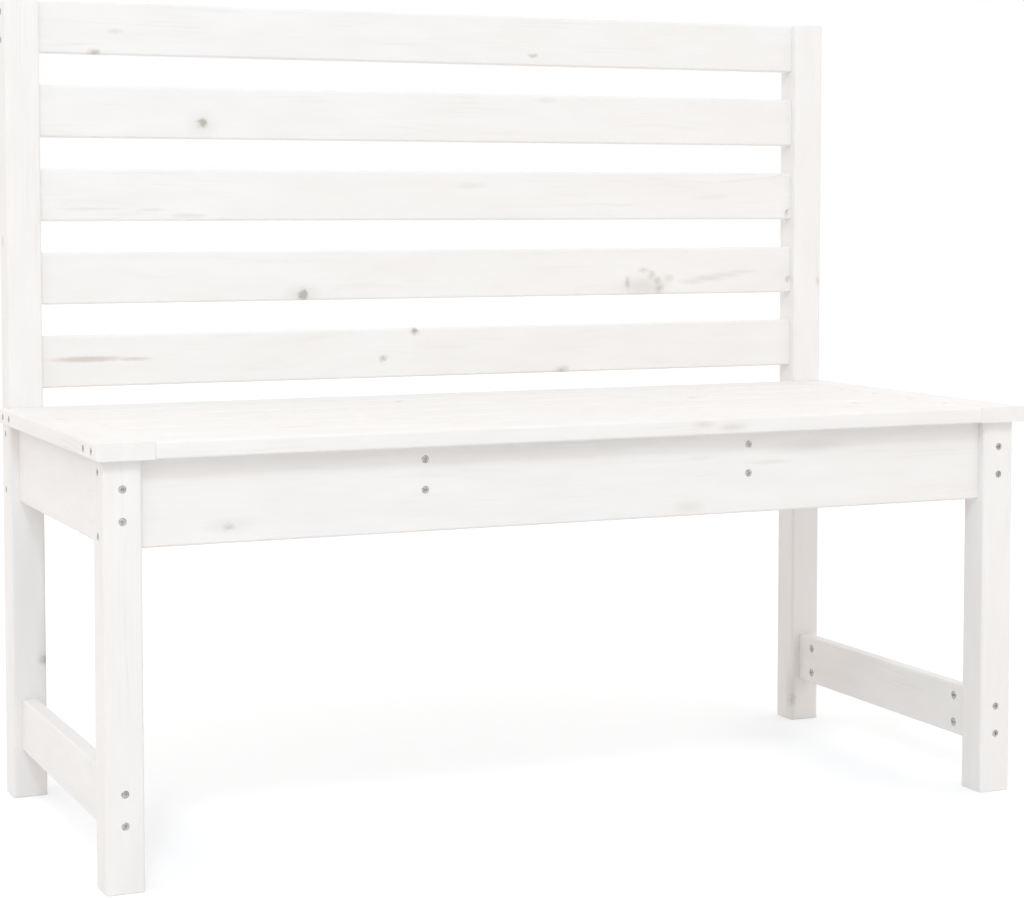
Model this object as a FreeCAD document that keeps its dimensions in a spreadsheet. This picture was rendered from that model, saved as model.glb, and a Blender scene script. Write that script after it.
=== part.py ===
"""White pine garden bench: a framed board seat, a back of five slats and four square legs.

The origin is on the floor under the middle of the bench: +X to the right, +Y to the back, +Z up.
All sizes are in millimetres. Every piece of wood is a body of its own, and like fasteners share one
group of separate solids.
"""
import FreeCAD, Part
import os
import Sketcher

# Driving sizes: alias, value and what it is
SIZES = (
    ("bench_length", 1090, "length of the seat, left to right"),
    ("seat_height", 450, "floor to the top of the seat"),
    ("board_thickness", 18, "thickness of every board"),
    ("board_edge_radius", 3, "rounding of the long edges of the boards"),
    ("leg_section", 40, "side of the square legs and posts"),
    ("leg_edge_radius", 4, "rounding of the long edges of the legs"),
    ("seat_board_count", 6, "seat boards from front to back"),
    ("seat_board_width", 70, "width of one seat board"),
    ("seat_board_gap", 6, "gap between two seat boards"),
    ("seat_end_overhang", 9, "seat beyond the outer faces of the legs"),
    ("seat_front_overhang", 11, "seat beyond the front faces of the legs"),
    ("seat_end_shoulder", 11, "end board inside the inner faces of the legs"),
    ("seat_notch_depth", 10, "seat behind the front faces of the posts"),
    ("apron_height", 90, "height of the four aprons under the seat"),
    ("bearer_height", 60, "height of the two bearers under the seat"),
    ("bearer_spacing", 384, "middle of one bearer to the middle of the other"),
    ("stretcher_height", 60, "height of the two side stretchers"),
    ("stretcher_rise", 54, "floor to the underside of the stretchers"),
    ("slat_count", 5, "slats in the back"),
    ("slat_height", 60, "height of one back slat"),
    ("slat_gap", 36, "gap between two back slats"),
    ("slat_rise", 21, "top of the seat to the lowest slat"),
    ("tenon_length", 12, "stub tenons of the slats and the inner seat boards"),
    ("tenon_thickness", 8, "thickness of the stub tenons"),
    ("tenon_shoulder", 8, "shoulder above and below a stub tenon"),
    ("fit_clearance", 0.2, "play round tenons, barrel nuts and posts in the seat"),
    ("bolt_diameter", 6, "shank of the bolts"),
    ("bolt_head_diameter", 9, "round head of a bolt, sunk flush with the wood"),
    ("bolt_head_height", 5, "height of a bolt head"),
    ("bolt_clearance", 0.2, "play round a bolt or a screw"),
    ("bolt_pitch", 32, "distance between the two bolts of a joint"),
    ("bolt_grip", 41, "bolt inside the end of an apron, stretcher, bearer or slat"),
    ("barrel_diameter", 10, "barrel nuts of the stretchers"),
    ("barrel_length", 14, "length of a barrel nut"),
    ("barrel_inset", 32, "end of a stretcher to the middle of its barrel nut"),
    ("screw_diameter", 5, "shank of the screws"),
    ("screw_head_diameter", 8, "round head of a screw, sunk into the wood"),
    ("screw_head_height", 3, "height of a screw head"),
    ("screw_pitch", 32, "distance between the two screws of a seat corner"),
    ("corner_screw_grip", 32, "screw inside the front or rear seat board"),
    ("seat_screw_land", 30, "bearer wood left above the head of a seat screw"),
    ("seat_screw_grip", 12, "screw inside an inner seat board"),
)

# Sizes and places that follow from the driving sizes
LAYOUT = (
    ("seat_depth", "Sizes.seat_board_count * (Sizes.seat_board_width + Sizes.seat_board_gap)"
                   " - Sizes.seat_board_gap"),
    ("bench_depth", "seat_depth + Sizes.leg_section - Sizes.seat_notch_depth"),
    ("slat_pitch", "Sizes.slat_height + Sizes.slat_gap"),
    ("bench_height", "Sizes.seat_height + Sizes.slat_rise + Sizes.slat_count * slat_pitch"
                     " - Sizes.slat_gap"),
    ("leg_half", "Sizes.leg_section / 2"),
    ("board_half", "Sizes.board_thickness / 2"),
    ("leg_x", "Sizes.bench_length / 2 - Sizes.seat_end_overhang - leg_half"),
    ("front_y", "-bench_depth / 2 + Sizes.seat_front_overhang + leg_half"),
    ("rear_y", "bench_depth / 2 - leg_half"),
    ("side_y", "(front_y + rear_y) / 2"),
    ("rail_length", "2 * leg_x - Sizes.leg_section"),
    ("side_length", "rear_y - front_y - Sizes.leg_section"),
    ("bearer_length", "rear_y - front_y - Sizes.board_thickness"),
    ("bearer_x", "Sizes.bearer_spacing / 2"),
    ("seat_underside", "Sizes.seat_height - Sizes.board_thickness"),
    ("seat_z", "Sizes.seat_height - board_half"),
    ("apron_z", "seat_underside - Sizes.apron_height / 2"),
    ("bearer_z", "seat_underside - Sizes.bearer_height / 2"),
    ("stretcher_z", "Sizes.stretcher_rise + Sizes.stretcher_height / 2"),
    ("top_slat_z", "bench_height - Sizes.slat_height / 2"),
    ("end_board_width", "Sizes.seat_end_overhang + Sizes.leg_section + Sizes.seat_end_shoulder"),
    ("end_board_x", "(Sizes.bench_length - end_board_width) / 2"),
    ("inner_board_length", "Sizes.bench_length - 2 * end_board_width"),
    ("board_pitch", "Sizes.seat_board_width + Sizes.seat_board_gap"),
    ("seat_y", "(seat_depth - bench_depth) / 2"),
    ("first_board_y", "(Sizes.seat_board_width - bench_depth) / 2"),
    ("corner_screw_y", "(seat_depth - Sizes.seat_board_width) / 2"),
    ("barrel_depth", "board_half + Sizes.barrel_length / 2"),
    ("barrel_y", "side_length / 2 - Sizes.barrel_inset"),
    ("seat_screw_sink", "Sizes.bearer_height - Sizes.seat_screw_land"),
)

# Small round rods and holes are drawn with eight flats, because there are so many of them
ROUND_FLATS = 8

LEFT, RIGHT = -1, 1
SIDES = (("left", LEFT), ("right", RIGHT))
UP = FreeCAD.Vector(0, 0, 1)
X_WAY = FreeCAD.Vector(1, 0, 0)
Y_WAY = FreeCAD.Vector(0, 1, 0)

doc = FreeCAD.newDocument("garden_bench")


def fill_sheet(name, rows):
    """Make a spreadsheet with one named cell for each row."""
    sheet = doc.addObject("Spreadsheet::Sheet", name)
    for number, (alias, text, *note) in enumerate(rows, 1):
        sheet.set(f"A{number}", " ".join([alias.replace("_", " "), *note]))
        sheet.set(f"B{number}", text)
        sheet.setAlias(f"B{number}", alias)
    doc.recompute()
    return sheet


sizes = fill_sheet("Sizes", [(alias, str(value), note) for alias, value, note in SIZES])
fill_sheet("Layout", [(alias, "=" + formula) for alias, formula in LAYOUT])
nodes = []
rooms = {}


def bind_place(item, x, y, z):
    """Bind the place of an item to three expressions."""
    for axis, place in zip("xyz", (x, y, z)):
        item.setExpression(f"Placement.Base.{axis}", place)


def both(middle, spread):
    """Give the places above and below a middle."""
    return f"{middle} + {spread}", f"{middle} - {spread}"


def join(kind, name, base, tool):
    """Fuse or cut two shapes."""
    result = doc.addObject(kind, name)
    result.Base = base
    result.Tool = tool
    return result


def make_rod(name, diameter, length, start="0", play="0"):
    """Make a slim rod on the Z axis from a start height, widened by some play."""
    rod = doc.addObject("Part::Prism", name)
    rod.Polygon = ROUND_FLATS
    rod.setExpression("Circumradius", f"{diameter} / 2 + {play}")
    rod.setExpression("Height", length)
    rod.setExpression("Placement.Base.z", start)
    return rod


def make_headed(name, kind, length, sink="0"):
    """Make a bolt or screw and the room it needs: top of the head at the origin, shank along +Z."""
    head = f"Sizes.{kind}_head_diameter"
    shank = f"Sizes.{kind}_diameter"
    neck = f"Sizes.{kind}_head_height"
    play = "Sizes.bolt_clearance"
    solid = join("Part::Fuse", name, make_rod(f"{name}_head", head, neck),
                 make_rod(f"{name}_shank", shank, f"{length} - {neck}", neck))
    room = join("Part::Fuse", f"{name}_room",
                make_rod(f"{name}_head_room", head, f"{neck} + {sink}", f"-1 * {sink}", play),
                make_rod(f"{name}_shank_room", shank, f"{length} - {neck} + {play}", neck, play))
    return solid, room


def make_barrel_nut():
    """Make a barrel nut and its room: face of the board at the origin, bolt bore along Y."""
    barrel = make_rod("barrel", "Sizes.barrel_diameter", "Sizes.barrel_length",
                      "Layout.barrel_depth - Sizes.barrel_length")
    bore = make_rod("barrel_bore", "Sizes.bolt_diameter", "2 * Sizes.barrel_diameter",
                    play="Sizes.bolt_clearance")
    bore.Placement = FreeCAD.Placement(FreeCAD.Vector(), FreeCAD.Rotation(UP, Y_WAY))
    bind_place(bore, "0", "-1 * Sizes.barrel_diameter", "Layout.board_half")
    room = make_rod("barrel_room", "Sizes.barrel_diameter", "Layout.barrel_depth", play="Sizes.fit_clearance")
    return join("Part::Cut", "barrel_nut", barrel, bore), room


def place_copies(name, master, places):
    """Gather copies of a shape, each turned from +Z to its way and moved to its place."""
    copies = []
    for way, *place in places:
        copy = doc.addObject("App::Link", f"{name}_copy")
        copy.LinkedObject = master
        copy.Placement = FreeCAD.Placement(FreeCAD.Vector(), FreeCAD.Rotation(UP, way))
        bind_place(copy, *place)
        copies.append(copy)
    group = doc.addObject("Part::Compound", name)
    group.Links = copies
    return group


def make_group(label, fastener, places):
    """Make one node of like fasteners, and keep the room they need in the wood."""
    solid, room = fastener
    group = place_copies(label, solid, places)
    group.Label = label
    nodes.append(group)
    rooms[label] = place_copies(f"{label}_room", room, places)


def facing_y(x, half, heights):
    """Places on the front of the front pieces and on the back of the rear pieces."""
    rows = ((Y_WAY, f"Layout.front_y - {half}"), (-Y_WAY, f"Layout.rear_y + {half}"))
    return [(way, f"{side} * {x}", y, z) for side in (LEFT, RIGHT) for way, y in rows for z in heights]


def facing_x(x, rows, heights):
    """Places on the outer faces at both ends of the bench."""
    return [(-side * X_WAY, f"{side} * {x}", y, z) for side in (LEFT, RIGHT) for y in rows for z in heights]


def make_bolts():
    """Bolts through the legs into the boards between them, and through the aprons into the bearers."""
    half_pitch = "Sizes.bolt_pitch / 2"
    outer_x = "(Layout.leg_x + Layout.leg_half)"
    leg_bolt = make_headed("leg_bolt", "bolt", "Sizes.leg_section + Sizes.bolt_grip")
    make_group("side_apron_bolts", leg_bolt,
               facing_y("Layout.leg_x", "Layout.leg_half", both("Layout.apron_z", half_pitch)))
    make_group("stretcher_bolts", leg_bolt,
               facing_y("Layout.leg_x", "Layout.leg_half", both("Layout.stretcher_z", half_pitch)))
    make_group("long_apron_bolts", leg_bolt,
               facing_x(outer_x, ("Layout.front_y", "Layout.rear_y"),
                        both("Layout.apron_z", "Sizes.bolt_pitch")))
    make_group("top_slat_bolts", leg_bolt,
               facing_x(outer_x, ("Layout.rear_y",), both("Layout.top_slat_z", half_pitch)))
    bearer_bolt = make_headed("bearer_bolt", "bolt", "Sizes.board_thickness + Sizes.bolt_grip")
    make_group("bearer_bolts", bearer_bolt,
               facing_y("Layout.bearer_x", "Layout.board_half", both("Layout.bearer_z", half_pitch)))


def make_barrel_nuts():
    """Barrel nuts in the inner faces of the stretchers, which take the ends of the stretcher bolts."""
    places = []
    for side in (LEFT, RIGHT):
        inner_face = f"{side} * (Layout.leg_x - Layout.board_half)"
        for y in both("Layout.side_y", "Layout.barrel_y"):
            for z in both("Layout.stretcher_z", "Sizes.bolt_pitch / 2"):
                places.append((side * X_WAY, inner_face, y, z))
    make_group("stretcher_barrel_nuts", make_barrel_nut(), places)


def make_screws():
    """Screws through the seat end boards, and screws up through the bearers into the seat."""
    corner_screw = make_headed("corner_screw", "screw", "Layout.end_board_width + Sizes.corner_screw_grip")
    rows = [y for end in (LEFT, RIGHT)
            for y in both(f"Layout.seat_y + {end} * Layout.corner_screw_y", "Sizes.screw_pitch / 2")]
    make_group("seat_corner_screws", corner_screw,
               facing_x("Sizes.bench_length / 2", rows, ("Layout.seat_z",)))
    seat_screw = make_headed("seat_screw", "screw", "Sizes.seat_screw_land + Sizes.seat_screw_grip",
                             "Layout.seat_screw_sink")
    make_group("seat_board_screws", seat_screw,
               [(UP, f"{side} * Layout.bearer_x", seat_board_y(number),
                 "Layout.seat_underside - Sizes.seat_screw_land")
                for side in (LEFT, RIGHT) for number in inner_seat_boards()])


def seat_board_y(number):
    """Middle of a seat board, counted from the front."""
    return f"Layout.first_board_y + {number} * Layout.board_pitch"


def inner_seat_boards():
    """Numbers of the seat boards between the front and the rear one."""
    return range(1, round(sizes.seat_board_count) - 1)


def start_body(label, x, y, z):
    """Start a body whose own origin stands at the place that three expressions give."""
    body = doc.addObject("PartDesign::Body", label)
    body.Label = label
    bind_place(body, x, y, z)
    return body


def start_sketch(body, plane, offset="0"):
    """Start a sketch on one of the body's own origin planes, lifted along its normal."""
    sketch = body.newObject("Sketcher::SketchObject", f"{body.Name}_sketch")
    support = next(feature for feature in body.Origin.OriginFeatures if feature.Role == plane)
    sketch.AttachmentSupport = (support, "")
    sketch.MapMode = "FlatFace"
    sketch.setExpression("AttachmentOffset.Base.z", offset)
    return sketch


def constrain(sketch, size, *constraint):
    """Add a dimension to a sketch and bind it to an expression."""
    index = sketch.addConstraint(Sketcher.Constraint(*constraint, sketch.evalExpression(size)))
    sketch.setExpression(f"Constraints[{index}]", size)


def place_point(sketch, shape, x, y):
    """Hold a point of a sketch at x and y, or on an axis where the place is None."""
    vertical_axis, horizontal_axis, origin = -2, -1, (-1, 1)
    for direction, place, axis in (("DistanceX", x, vertical_axis), ("DistanceY", y, horizontal_axis)):
        if place is None:
            sketch.addConstraint(Sketcher.Constraint("PointOnObject", shape, 1, axis))
        else:
            constrain(sketch, place, direction, *origin, shape, 1)


def draw_rectangle(sketch, width, height, x=None, y=None):
    """Draw a rectangle about the point x, y; None is the middle of the sketch."""
    half_width = sketch.evalExpression(width) / 2
    half_height = sketch.evalExpression(height) / 2
    middle = FreeCAD.Vector(*(0 if place is None else sketch.evalExpression(place) for place in (x, y)), 0)
    ways = ((-1, -1), (1, -1), (1, 1), (-1, 1))
    corners = [middle + FreeCAD.Vector(across * half_width, up * half_height, 0) for across, up in ways]
    bottom = sketch.GeometryCount
    right, top, left = bottom + 1, bottom + 2, bottom + 3
    for start, end in zip(corners, corners[1:] + corners[:1]):
        sketch.addGeometry(Part.LineSegment(start, end), False)
    for side, following in ((bottom, right), (right, top), (top, left), (left, bottom)):
        sketch.addConstraint(Sketcher.Constraint("Coincident", side, 2, following, 1))
    for side in (bottom, top):
        sketch.addConstraint(Sketcher.Constraint("Horizontal", side))
    for side in (left, right):
        sketch.addConstraint(Sketcher.Constraint("Vertical", side))
    centre = sketch.addGeometry(Part.Point(middle), True)
    sketch.addConstraint(Sketcher.Constraint("Symmetric", bottom, 1, top, 1, centre, 1))
    place_point(sketch, centre, x, y)
    constrain(sketch, width, "DistanceX", bottom, 1, bottom, 2)
    constrain(sketch, height, "DistanceY", right, 1, right, 2)


def pad(body, plane, width, height, length, upward=False):
    """Pad a rectangular section both ways from its plane, or upward only."""
    sketch = start_sketch(body, plane)
    draw_rectangle(sketch, width, height)
    feature = body.newObject("PartDesign::Pad", f"{body.Name}_pad")
    feature.Profile = sketch
    feature.SideType = "One side" if upward else "Symmetric"
    feature.setExpression("Length", length)
    doc.recompute()


def round_edges(body, radius, way):
    """Round the straight edges of a body that run along a direction."""
    base = body.Tip
    picked = [f"Edge{number}" for number, edge in enumerate(base.Shape.Edges, 1)
              if abs(edge.tangentAt(edge.FirstParameter).dot(way)) > 0.999]
    feature = body.newObject("PartDesign::Fillet", f"{body.Name}_fillet")
    feature.Base = (base, picked)
    feature.setExpression("Radius", radius)
    doc.recompute()


def make_sure_it_cuts(label, before, after):
    """Stop if a cut took no wood away."""
    if not after.Shape.Volume < before.Shape.Volume:
        raise RuntimeError(f"a cut in {label} takes nothing away")


def cut_pockets(body, plane, half, side, centres, width, height, depth):
    """Cut rectangular pockets from the face on one side of a plane."""
    sketch = start_sketch(body, plane, f"{side} * {half}")
    for x, y in centres:
        draw_rectangle(sketch, width, height, x, y)
    pocket = body.newObject("PartDesign::Pocket", f"{body.Name}_pocket")
    pocket.Profile = sketch
    pocket.setExpression("Length", depth)
    pocket.Reversed = side < 0
    doc.recompute()
    make_sure_it_cuts(body.Label, pocket.BaseFeature, pocket)


def finish_wood(body, *groups):
    """Cut the room for each group of fasteners out of a piece of wood and add it to the nodes."""
    label = body.Label
    piece = body
    for group in groups:
        piece.Label = f"{label} before {group}"
        cut = join("Part::Cut", label, piece, rooms[group])
        doc.recompute()
        make_sure_it_cuts(label, piece, cut)
        piece = cut
    piece.Label = label
    nodes.append(piece)


def board_along_x(label, x, y, z, width_y, height_z, length):
    """Make a board that runs left to right, with its long edges rounded."""
    body = start_body(label, x, y, z)
    pad(body, "YZ_Plane", width_y, height_z, length)
    round_edges(body, "Sizes.board_edge_radius", X_WAY)
    return body


def board_along_y(label, x, y, z, width_x, height_z, length):
    """Make a board that runs front to back, with its long edges rounded."""
    body = start_body(label, x, y, z)
    pad(body, "XZ_Plane", width_x, height_z, length)
    round_edges(body, "Sizes.board_edge_radius", Y_WAY)
    return body


def make_leg(label, side, y, height):
    """Make a square leg that stands on the floor."""
    body = start_body(label, f"{side} * Layout.leg_x", y, "0")
    pad(body, "XY_Plane", "Sizes.leg_section", "Sizes.leg_section", height, upward=True)
    round_edges(body, "Sizes.leg_edge_radius", UP)
    return body


def make_front_legs():
    """The front legs end under the seat."""
    for name, side in SIDES:
        leg = make_leg(f"{name}_front_leg", side, "Layout.front_y", "Layout.seat_underside")
        finish_wood(leg, "side_apron_bolts", "stretcher_bolts", "long_apron_bolts")


def make_rear_posts():
    """The rear posts carry the back, with a mortise for each slat below the bolted top slat."""
    lower_slats = range(1, round(sizes.slat_count))
    mortises = [(None, f"Layout.top_slat_z - {number} * Layout.slat_pitch") for number in lower_slats]
    for name, side in SIDES:
        post = make_leg(f"{name}_rear_post", side, "Layout.rear_y", "Layout.bench_height")
        cut_pockets(post, "YZ_Plane", "Layout.leg_half", -side, mortises,
                    "Sizes.tenon_thickness + 2 * Sizes.fit_clearance",
                    "Sizes.slat_height - 2 * Sizes.tenon_shoulder + 2 * Sizes.fit_clearance",
                    "Sizes.tenon_length + Sizes.fit_clearance")
        finish_wood(post, "side_apron_bolts", "stretcher_bolts", "long_apron_bolts", "top_slat_bolts")


def make_back_slats():
    """The top slat is bolted to the posts, the others have a stub tenon at each end."""
    for number in range(round(sizes.slat_count)):
        slat = board_along_x(f"back_slat_{number + 1}", "0", "Layout.rear_y",
                             f"Layout.top_slat_z - {number} * Layout.slat_pitch",
                             "Sizes.board_thickness", "Sizes.slat_height", "Layout.rail_length")
        if number == 0:
            finish_wood(slat, "top_slat_bolts")
        else:
            pad(slat, "YZ_Plane", "Sizes.tenon_thickness", "Sizes.slat_height - 2 * Sizes.tenon_shoulder",
                "Layout.rail_length + 2 * Sizes.tenon_length")
            finish_wood(slat)


def make_long_aprons():
    """The front and rear aprons join the legs and carry the ends of the seat bearers."""
    for name, y in (("front", "Layout.front_y"), ("rear", "Layout.rear_y")):
        apron = board_along_x(f"{name}_apron", "0", y, "Layout.apron_z",
                              "Sizes.board_thickness", "Sizes.apron_height", "Layout.rail_length")
        finish_wood(apron, "long_apron_bolts", "bearer_bolts")


def make_side_rails():
    """A side apron and a low stretcher join each front leg to its rear post."""
    for name, side in SIDES:
        x = f"{side} * Layout.leg_x"
        apron = board_along_y(f"{name}_side_apron", x, "Layout.side_y", "Layout.apron_z",
                              "Sizes.board_thickness", "Sizes.apron_height", "Layout.side_length")
        finish_wood(apron, "side_apron_bolts")
        stretcher = board_along_y(f"{name}_stretcher", x, "Layout.side_y", "Layout.stretcher_z",
                                  "Sizes.board_thickness", "Sizes.stretcher_height", "Layout.side_length")
        finish_wood(stretcher, "stretcher_bolts", "stretcher_barrel_nuts")


def make_seat_bearers():
    """Two bearers run under the seat boards from the front apron to the rear apron."""
    for name, side in SIDES:
        bearer = board_along_y(f"{name}_seat_bearer", f"{side} * Layout.bearer_x", "Layout.side_y",
                               "Layout.bearer_z", "Sizes.board_thickness", "Sizes.bearer_height",
                               "Layout.bearer_length")
        finish_wood(bearer, "bearer_bolts", "seat_board_screws")


def make_seat_boards():
    """The front and rear boards are screwed between the end boards, the others have stub tenons."""
    last = round(sizes.seat_board_count) - 1
    names = {0: "seat_front_board", last: "seat_rear_board"}
    for number in range(last + 1):
        board = board_along_x(names.get(number, f"seat_board_{number + 1}"), "0", seat_board_y(number),
                              "Layout.seat_z", "Sizes.seat_board_width", "Sizes.board_thickness",
                              "Layout.inner_board_length")
        if number in names:
            finish_wood(board, "seat_corner_screws")
        else:
            pad(board, "YZ_Plane", "Sizes.seat_board_width - 2 * Sizes.tenon_shoulder",
                "Sizes.tenon_thickness", "Layout.inner_board_length + 2 * Sizes.tenon_length")
            finish_wood(board, "seat_board_screws")


def make_seat_end_boards():
    """The end boards frame the seat and are notched round the rear posts."""
    mortises = [(f"{seat_board_y(number)} - Layout.seat_y", None) for number in inner_seat_boards()]
    opening = "Sizes.leg_section + 2 * Sizes.fit_clearance"
    for name, side in SIDES:
        board = board_along_y(f"{name}_seat_end_board", f"{side} * Layout.end_board_x", "Layout.seat_y",
                              "Layout.seat_z", "Layout.end_board_width", "Sizes.board_thickness",
                              "Layout.seat_depth")
        cut_pockets(board, "YZ_Plane", "Layout.end_board_width / 2", -side, mortises,
                    "Sizes.seat_board_width - 2 * Sizes.tenon_shoulder + 2 * Sizes.fit_clearance",
                    "Sizes.tenon_thickness + 2 * Sizes.fit_clearance",
                    "Sizes.tenon_length + Sizes.fit_clearance")
        post = (f"{side} * (Layout.leg_x - Layout.end_board_x)", "Layout.rear_y - Layout.seat_y")
        cut_pockets(board, "XY_Plane", "Layout.board_half", RIGHT, [post], opening, opening,
                    "Sizes.board_thickness")
        finish_wood(board, "seat_corner_screws")


def check_and_export():
    """Stop if anything failed to build, else write each piece to its own file."""
    doc.recompute()
    for item in doc.Objects:
        if "Invalid" in item.State or "Error" in item.State:
            raise RuntimeError(f"{item.Label} failed to build")
    for node in nodes:
        if node.Shape.isNull() or not node.Shape.isValid() or not node.Shape.Solids:
            raise RuntimeError(f"{node.Label} has no valid solid")
    os.makedirs("parts", exist_ok=True)
    for node in nodes:
        node.Shape.exportStep(f"parts/{node.Label}.step")


make_bolts()
make_barrel_nuts()
make_screws()
make_front_legs()
make_rear_posts()
make_back_slats()
make_long_aprons()
make_side_rails()
make_seat_bearers()
make_seat_boards()
make_seat_end_boards()
check_and_export()
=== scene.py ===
import math
import random

import bmesh
import bpy
from bpy.props import FloatProperty, FloatVectorProperty, IntProperty, PointerProperty
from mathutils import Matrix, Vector


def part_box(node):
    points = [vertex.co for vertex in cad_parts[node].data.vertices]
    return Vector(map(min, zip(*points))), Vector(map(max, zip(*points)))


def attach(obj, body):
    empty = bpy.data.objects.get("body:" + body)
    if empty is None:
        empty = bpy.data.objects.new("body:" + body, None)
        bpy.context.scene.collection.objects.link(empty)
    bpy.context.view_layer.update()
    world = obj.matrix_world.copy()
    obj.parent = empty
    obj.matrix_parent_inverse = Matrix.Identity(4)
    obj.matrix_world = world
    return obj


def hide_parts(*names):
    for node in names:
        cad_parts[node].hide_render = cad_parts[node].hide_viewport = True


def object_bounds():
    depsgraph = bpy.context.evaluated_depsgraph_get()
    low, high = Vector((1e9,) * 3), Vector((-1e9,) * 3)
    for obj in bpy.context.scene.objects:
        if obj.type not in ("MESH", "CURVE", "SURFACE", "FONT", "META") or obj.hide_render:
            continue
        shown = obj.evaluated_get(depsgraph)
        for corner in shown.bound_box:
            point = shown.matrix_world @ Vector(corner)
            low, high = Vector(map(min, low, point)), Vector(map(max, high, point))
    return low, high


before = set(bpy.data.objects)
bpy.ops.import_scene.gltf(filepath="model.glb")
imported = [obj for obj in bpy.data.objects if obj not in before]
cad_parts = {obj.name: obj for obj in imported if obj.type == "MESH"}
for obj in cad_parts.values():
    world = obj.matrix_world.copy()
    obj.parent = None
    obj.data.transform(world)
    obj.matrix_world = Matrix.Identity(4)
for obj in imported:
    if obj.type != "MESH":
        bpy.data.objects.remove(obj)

CAD_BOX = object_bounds()

bl_info = {
    "name": "White garden bench",
    "version": (1, 0, 0),
    "blender": (4, 5, 0),
    "location": "View3D > Sidebar > Bench",
    "description": "Models the boards, fasteners and studio of a white painted garden bench",
    "category": "Object",
}

X, Y, Z = range(3)
UP = Vector((0, 0, 1))
X_WAY = Vector((1, 0, 0))
Y_WAY = Vector((0, 1, 0))
LEFT, RIGHT = -1, 1
SIDES = ("left", "right")
MM = 0.001
# Two places that are closer than this count as one
TOUCHING = 0.01 * MM

SLATS = [f"back_slat_{number}" for number in range(1, 6)]
OUTER_SEAT_BOARDS = ["seat_front_board", "seat_rear_board"]
INNER_SEAT_BOARDS = [f"seat_board_{number}" for number in range(2, 6)]

# Knots that show through the paint: middle, radii along X, Y and Z, all in mm, and how strong they are.
# A radius of 40 carries a knot right through its board.
KNOTS = (
    # back slats, from the top one down
    ((-430, 220, 857), (11, 40, 7), 0.7),
    ((124, 220, 867), (12, 40, 5), 0.62),
    ((-302, 220, 778), (10, 40, 10), 0.95),
    ((490, 220, 672), (7, 40, 9), 0.7),
    ((-179, 220, 574), (12, 40, 10), 1.0),
    ((257, 220, 582), (6, 40, 12), 0.62),
    ((280, 220, 598), (11, 40, 6), 0.5),
    ((291, 220, 592), (10, 40, 9), 0.54),
    ((299, 220, 584), (9, 40, 10), 0.58),
    ((302, 220, 575), (11, 40, 11), 0.66),
    ((492, 220, 585), (5, 40, 9), 0.6),
    ((-35, 220, 526), (9, 40, 8), 0.9),
    ((-76, 220, 495), (8, 40, 7), 0.66),
    ((164, 220, 474), (16, 40, 8), 0.64),
    # seat
    ((248, 20, 441), (10, 8, 40), 0.6),
    ((-96, 108, 441), (9, 8, 40), 0.7),
    ((387, -128, 441), (12, 9, 40), 0.5),
    ((-515, 40, 441), (7, 11, 40), 0.4),
    # aprons, bearers and stretchers
    ((-404, -209, 359), (11, 40, 6), 0.58),
    ((-220, 220, 380), (11, 40, 10), 0.8),
    ((340, 220, 405), (13, 40, 8), 0.5),
    ((516, -40, 378), (40, 11, 9), 0.7),
    ((-192, 60, 400), (40, 10, 9), 0.6),
    ((192, -70, 396), (40, 9, 8), 0.6),
    # legs and posts
    ((-498, 206, 158), (12, 13, 14), 0.9),
    ((499, 204, 28), (6, 9, 17), 0.64),
    ((531, 204, 583), (6, 12, 14), 0.5),
    ((-530, 222, 640), (40, 7, 10), 0.5),
    ((512, 238, 330), (8, 14, 11), 0.7),
    ((-520, -190, 240), (8, 14, 11), 0.5),
    ((530, -212, 250), (16, 8, 11), 0.6),
)
# Grey shadows in the wood round and between knots, and one painted shade under the seat's front edge:
# middle, radii and strength, as above
SHADOWS = (
    ((-406, 220, 882), (13, 40, 5), 0.45),
    ((143, 220, 812), (22, 40, 6), 0.3),
    ((-302, 220, 776), (26, 40, 22), 0.3),
    ((-437, 220, 677), (60, 40, 2.5), 0.35),
    ((-365, 220, 676), (24, 40, 3), 0.4),
    ((-319, 220, 669), (32, 40, 4), 0.42),
    ((41, 220, 705), (30, 40, 6), 0.3),
    ((-179, 220, 574), (34, 40, 18), 0.35),
    ((280, 220, 577), (52, 40, 20), 0.5),
    ((350, 220, 583), (28, 40, 6), 0.4),
    ((374, 220, 587), (38, 40, 6), 0.5),
    ((398, 220, 591), (36, 40, 5), 0.42),
    ((422, 220, 595), (34, 40, 4), 0.34),
    ((124, -236, 444), (20, 14, 6), 0.5),
    ((160, -236, 440), (26, 14, 6), 0.55),
    ((-306, -145, 450), (34, 5, 12), 0.6),
    ((-182, -99, 450), (34, 4, 12), 0.6),
    ((-305, -21, 450), (32, 4, 12), 0.6),
    ((-404, -209, 360), (42, 40, 12), 0.25),
    # Painted shade: a long grey smear at the top of the front apron, just under the seat's front edge,
    # where the seat's shadow falls
    ((268, -209, 412), (78, 40, 12), 0.35),
    ((216, -209, 397), (42, 40, 4), 0.3),
    ((118, -209, 352), (26, 40, 10), 0.35),
    ((-496, 206, 170), (14, 20, 60), 0.35),
    ((497, 206, 36), (10, 14, 52), 0.4),
)
# Reddish resin streaks: middle, radii and strength, as above
STREAKS = (
    ((-442, 220, 503), (70, 40, 6), 1.0),
    ((-388, 220, 502), (40, 40, 4), 0.7),
    ((316, 220, 588), (14, 40, 10), 0.5),
    ((-500, 200, 92), (14, 30, 26), 0.5),
    ((-60, 23, 441), (70, 3, 40), 0.4),
    ((300, 220, 372), (60, 40, 3), 0.5),
)


def linear(code):
    """Turn an sRGB hex colour into linear RGBA."""
    channels = [int(code[place:place + 2], 16) / 255 for place in (0, 2, 4)]
    return (*(c / 12.92 if c <= 0.04045 else ((c + 0.055) / 1.055) ** 2.4 for c in channels), 1.0)


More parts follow.
